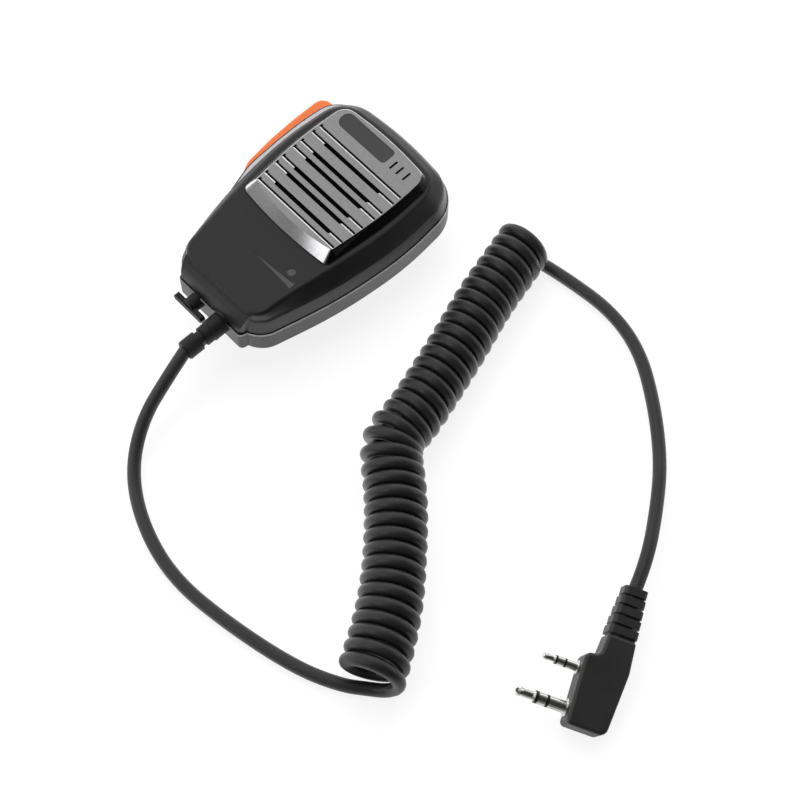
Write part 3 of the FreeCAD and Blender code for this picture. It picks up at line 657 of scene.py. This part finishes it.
# %% [markdown]
# ## Cord jacket
# The jacket is black polyurethane, finely grained. The coil is a little glossier than the straight
# leads, and a little blacker, which is painted shade between its tight turns. Height tells the coil
# from the leads, which lie on the table.

# %% Jacket
COIL_FROM_X = 35 * MM
LEAD_TOP = 4.3 * MM


def cord_jacket():
    """Painted shade makes the coil's colour blacker than the leads'; the coil is also glossier."""
    recipe = Recipe("cord_jacket")
    x, _, z = recipe.axes()
    coil_shade_and_gloss = (x - COIL_FROM_X).between(0, 1 * MM) * (z - LEAD_TOP).between(0, 1 * MM)
    grain = recipe.noise(2200.0, 3.0)
    cloud = recipe.noise(120.0, 3.0)
    # Painted shade: the coil is darker than the leads.
    colour = recipe.mix(coil_shade_and_gloss, (0.031, 0.031, 0.0315), (0.019, 0.019, 0.0193))
    return recipe.surface(base_color=colour, roughness=0.46 + (cloud - 0.5) * 0.16 - coil_shade_and_gloss * 0.06,
                          normal=recipe.bump(grain, 0.03 * MM))


jacket_finish = cord_jacket()
print("jacket ready")

# %% [markdown]
# ## Who wears what
# Each CAD node already has a slot named for its finish. The dictionary pairs those slots with the
# materials above. Single nodes that differ from their slot come after it.

# %% Finishes on the CAD nodes
FINISHES = {
    "front_shell": front_plastic, "rear_shell": rear_plastic, "grille_metallised": grille_coat,
    "badge_dark": badge_finish, "speaker_cloth": cloth_finish, "key_orange": key_finish,
    "clip_black": clip_finish, "rubber_black": rubber_finish, "cord_jacket": jacket_finish,
    "plug_moulding": plug_finish, "pin_nickel": pin_finish, "pin_insulation": insulator_finish,
    "steel_zinc": steel_finish, "magnet_black": magnet_finish, "cone_paper": paper_finish,
    "capsule_can": can_finish, "board_green": board_finish, "component_black": package_finish,
    "plunger_white": plunger_finish,
}
for row in frame["record"]["subparts"]:
    for slot in frame["nodes"][row["node"]].material_slots:
        slot.material = FINISHES[row["material_slot"]]
for slot in frame["nodes"]["mic_screen"].material_slots:
    slot.material = port_finish
cord.data.materials.append(jacket_finish)
spring.data.materials.append(steel_finish)
print("finished nodes:", len(frame["nodes"]))

# %% [markdown]
# ## Table
# The table is a white sheet that keeps a faint shadow. Black plastic shows little but what it
# mirrors, so the sheet is brighter in reflections near the microphone, behind it and at its right,
# and fades to dark further off, as a lit table does in a dim room. To the camera the sheet is
# plain white, and from underneath it is clear, so the clip can be seen from below.

# %% Sheet
PAPER = (0.8, 0.8, 0.8)
PAPER_SEEN = (0.27, 0.27, 0.27)
GLOW_SEEN = 0.84
SHEET = 1.1
DARK_ROOM = 0.05
RIGHT_FADE = (0.08, 0.25)
BACK_FADE = (0.08, 0.092)
BACK_LOSS = 0.75
LEFT_FADE = (0.042, 0.052)
LEFT_LOSS = 0.45
BEHIND = ((0.038, 0.05), (0.07, 0.085))
BESIDE = ((0.034, 0.046), (0.07, 0.1))
STRIP_GAIN = 0.5


def strip(value, rise, fall):
    """What a brighter band adds, between where it rises and where it falls."""
    return value.between(*rise) * (1.0 - value.between(*fall)) * STRIP_GAIN


def sheet_in_mirrors(recipe):
    """How bright the sheet is in a reflection, from place to place."""
    x, y, _ = recipe.axes()
    lit = (1.0 - x.between(*RIGHT_FADE)) * (1.0 - y.between(*BACK_FADE) * BACK_LOSS)
    lit = lit * (1.0 - (x * -1.0).between(*LEFT_FADE) * LEFT_LOSS)
    return DARK_ROOM + lit * (SHEET + strip(y, *BEHIND) + strip(x, *BESIDE))


def white_paper():
    """Paper in plain light, the mirrored sheet in reflections, and nothing from underneath."""
    recipe = Recipe("white_table")
    seen = recipe.add("LightPath", None, None, "Is Camera Ray")
    mirrored = recipe.add("LightPath", None, None, "Is Glossy Ray")
    beneath = recipe.add("NewGeometry", None, None, "Backfacing")
    paper = recipe.add("BsdfDiffuse", None, {"Color": recipe.mix(seen, PAPER, PAPER_SEEN)})
    glow = recipe.add("Emission", None, {"Color": seen * GLOW_SEEN})
    white = recipe.add("AddShader", None, {0: paper, 1: glow})
    reflected = recipe.add("Emission", None, {"Color": sheet_in_mirrors(recipe)})
    clear = recipe.add("BsdfTransparent", None)
    above = recipe.add("MixShader", None, {0: mirrored, 1: white, 2: reflected})
    sheet = recipe.add("MixShader", None, {0: beneath, 1: above, 2: clear})
    recipe.add("OutputMaterial", None, {"Surface": sheet})
    return recipe.material


def add_table():
    """A disc of paper, four metres in radius, at the height that the microphone rests on."""
    mesh = bpy.data.meshes.new("table")
    form = bmesh.new()
    bmesh.ops.create_circle(form, cap_ends=True, segments=96, radius=4.0)
    form.to_mesh(mesh)
    form.free()
    mesh.materials.append(white_paper())
    sheet = bpy.data.objects.new("table", mesh)
    scene.collection.objects.link(sheet)
    return sheet


table = add_table()
print("table", [round(v, 1) for v in table.dimensions])

# %% [markdown]
# ## Dome and lamp
# Round the table hangs a soft dome of light: grey overhead and to the left, with two bright panels
# low on the left and behind, and a dim one in front. Almost nothing comes from the right. The
# panels draw the edges of the black shells. A small bright window high in front puts the glint on
# the grille's lower bevel. One broad lamp adds a soft shadow, and stays out of the reflections.

# %% Light
DOME_GREY = (0.8, 0.8, 0.8)
HORIZON = (0.30, 0.60)
PANELS = (
    ((-1, 0, 0), 0.35, 0.75, 1.6),
    ((0, 1, 0), 0.45, 0.80, 1.4),
    ((0, -1, 0), 0.30, 0.80, 0.25),
)
WINDOW = ((-0.19, -0.73, 0.656), 0.9885, 0.9915, 4.2)


def patch(recipe, towards, direction, start, full, strength):
    """A soft-edged light in one direction, from start to full as the cosine of the angle rises."""
    facing = recipe.add("VectorMath", {"operation": "DOT_PRODUCT"}, {0: towards, 1: direction}, "Value")
    return facing.between(start, full) * strength


def dome_light(recipe):
    """The strength of the light from every direction."""
    towards = recipe.add("TexCoord", None, None, "Generated")
    across, _, height = [recipe.add("SeparateXYZ", None, {0: towards}, name) for name in "XYZ"]
    light = DARK_ROOM + height.between(0.25, 0.85) * (1.0 - across.between(-0.45, 0.35)) * 1.02
    low = 1.0 - height.between(*HORIZON)
    for panel in PANELS:
        light = light + patch(recipe, towards, *panel) * low
    return light + patch(recipe, towards, *WINDOW)


def add_dome():
    """The world: the dome for the microphone, and plain white for the camera."""
    world = bpy.data.worlds.new("studio")
    world.use_nodes = True
    recipe = Recipe("dome", world.node_tree)
    seen = recipe.add("LightPath", None, None, "Is Camera Ray")
    dome = recipe.add("Background", None, {"Color": DOME_GREY, "Strength": dome_light(recipe)})
    white = recipe.add("Background", None, {"Color": (1, 1, 1)})
    both = recipe.add("MixShader", None, {0: seen, 1: dome, 2: white})
    recipe.add("OutputWorld", None, {"Surface": both})
    scene.world = world


def softbox(name, place, target, size, watts):
    """A rectangular lamp that points at its target and doesn't show in reflections."""
    light = bpy.data.lights.new(name, "AREA")
    light.shape = "RECTANGLE"
    light.size, light.size_y = size
    light.energy = watts
    lamp = bpy.data.objects.new(name, light)
    scene.collection.objects.link(lamp)
    lamp.location = place
    lamp.rotation_euler = (Vector(target) - Vector(place)).to_track_quat("-Z", "Y").to_euler()
    lamp.visible_glossy = False
    return lamp


add_dome()
lamp = softbox("overhead", (-0.25, 0.3, 0.9), (0.06, -0.02, 0), (0.9, 0.9), 5)
scene.view_settings.view_transform = "Standard"
print("dome panels:", len(PANELS), "lamp", lamp.name, lamp.data.energy, "W")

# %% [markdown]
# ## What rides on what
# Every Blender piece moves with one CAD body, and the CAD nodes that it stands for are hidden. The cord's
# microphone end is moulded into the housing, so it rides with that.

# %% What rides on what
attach(cord, "root")
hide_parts("cord_lead_mic", "cord_coil", "cord_lead_plug")
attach(spring, "clip_plate")
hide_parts("clip_spring")
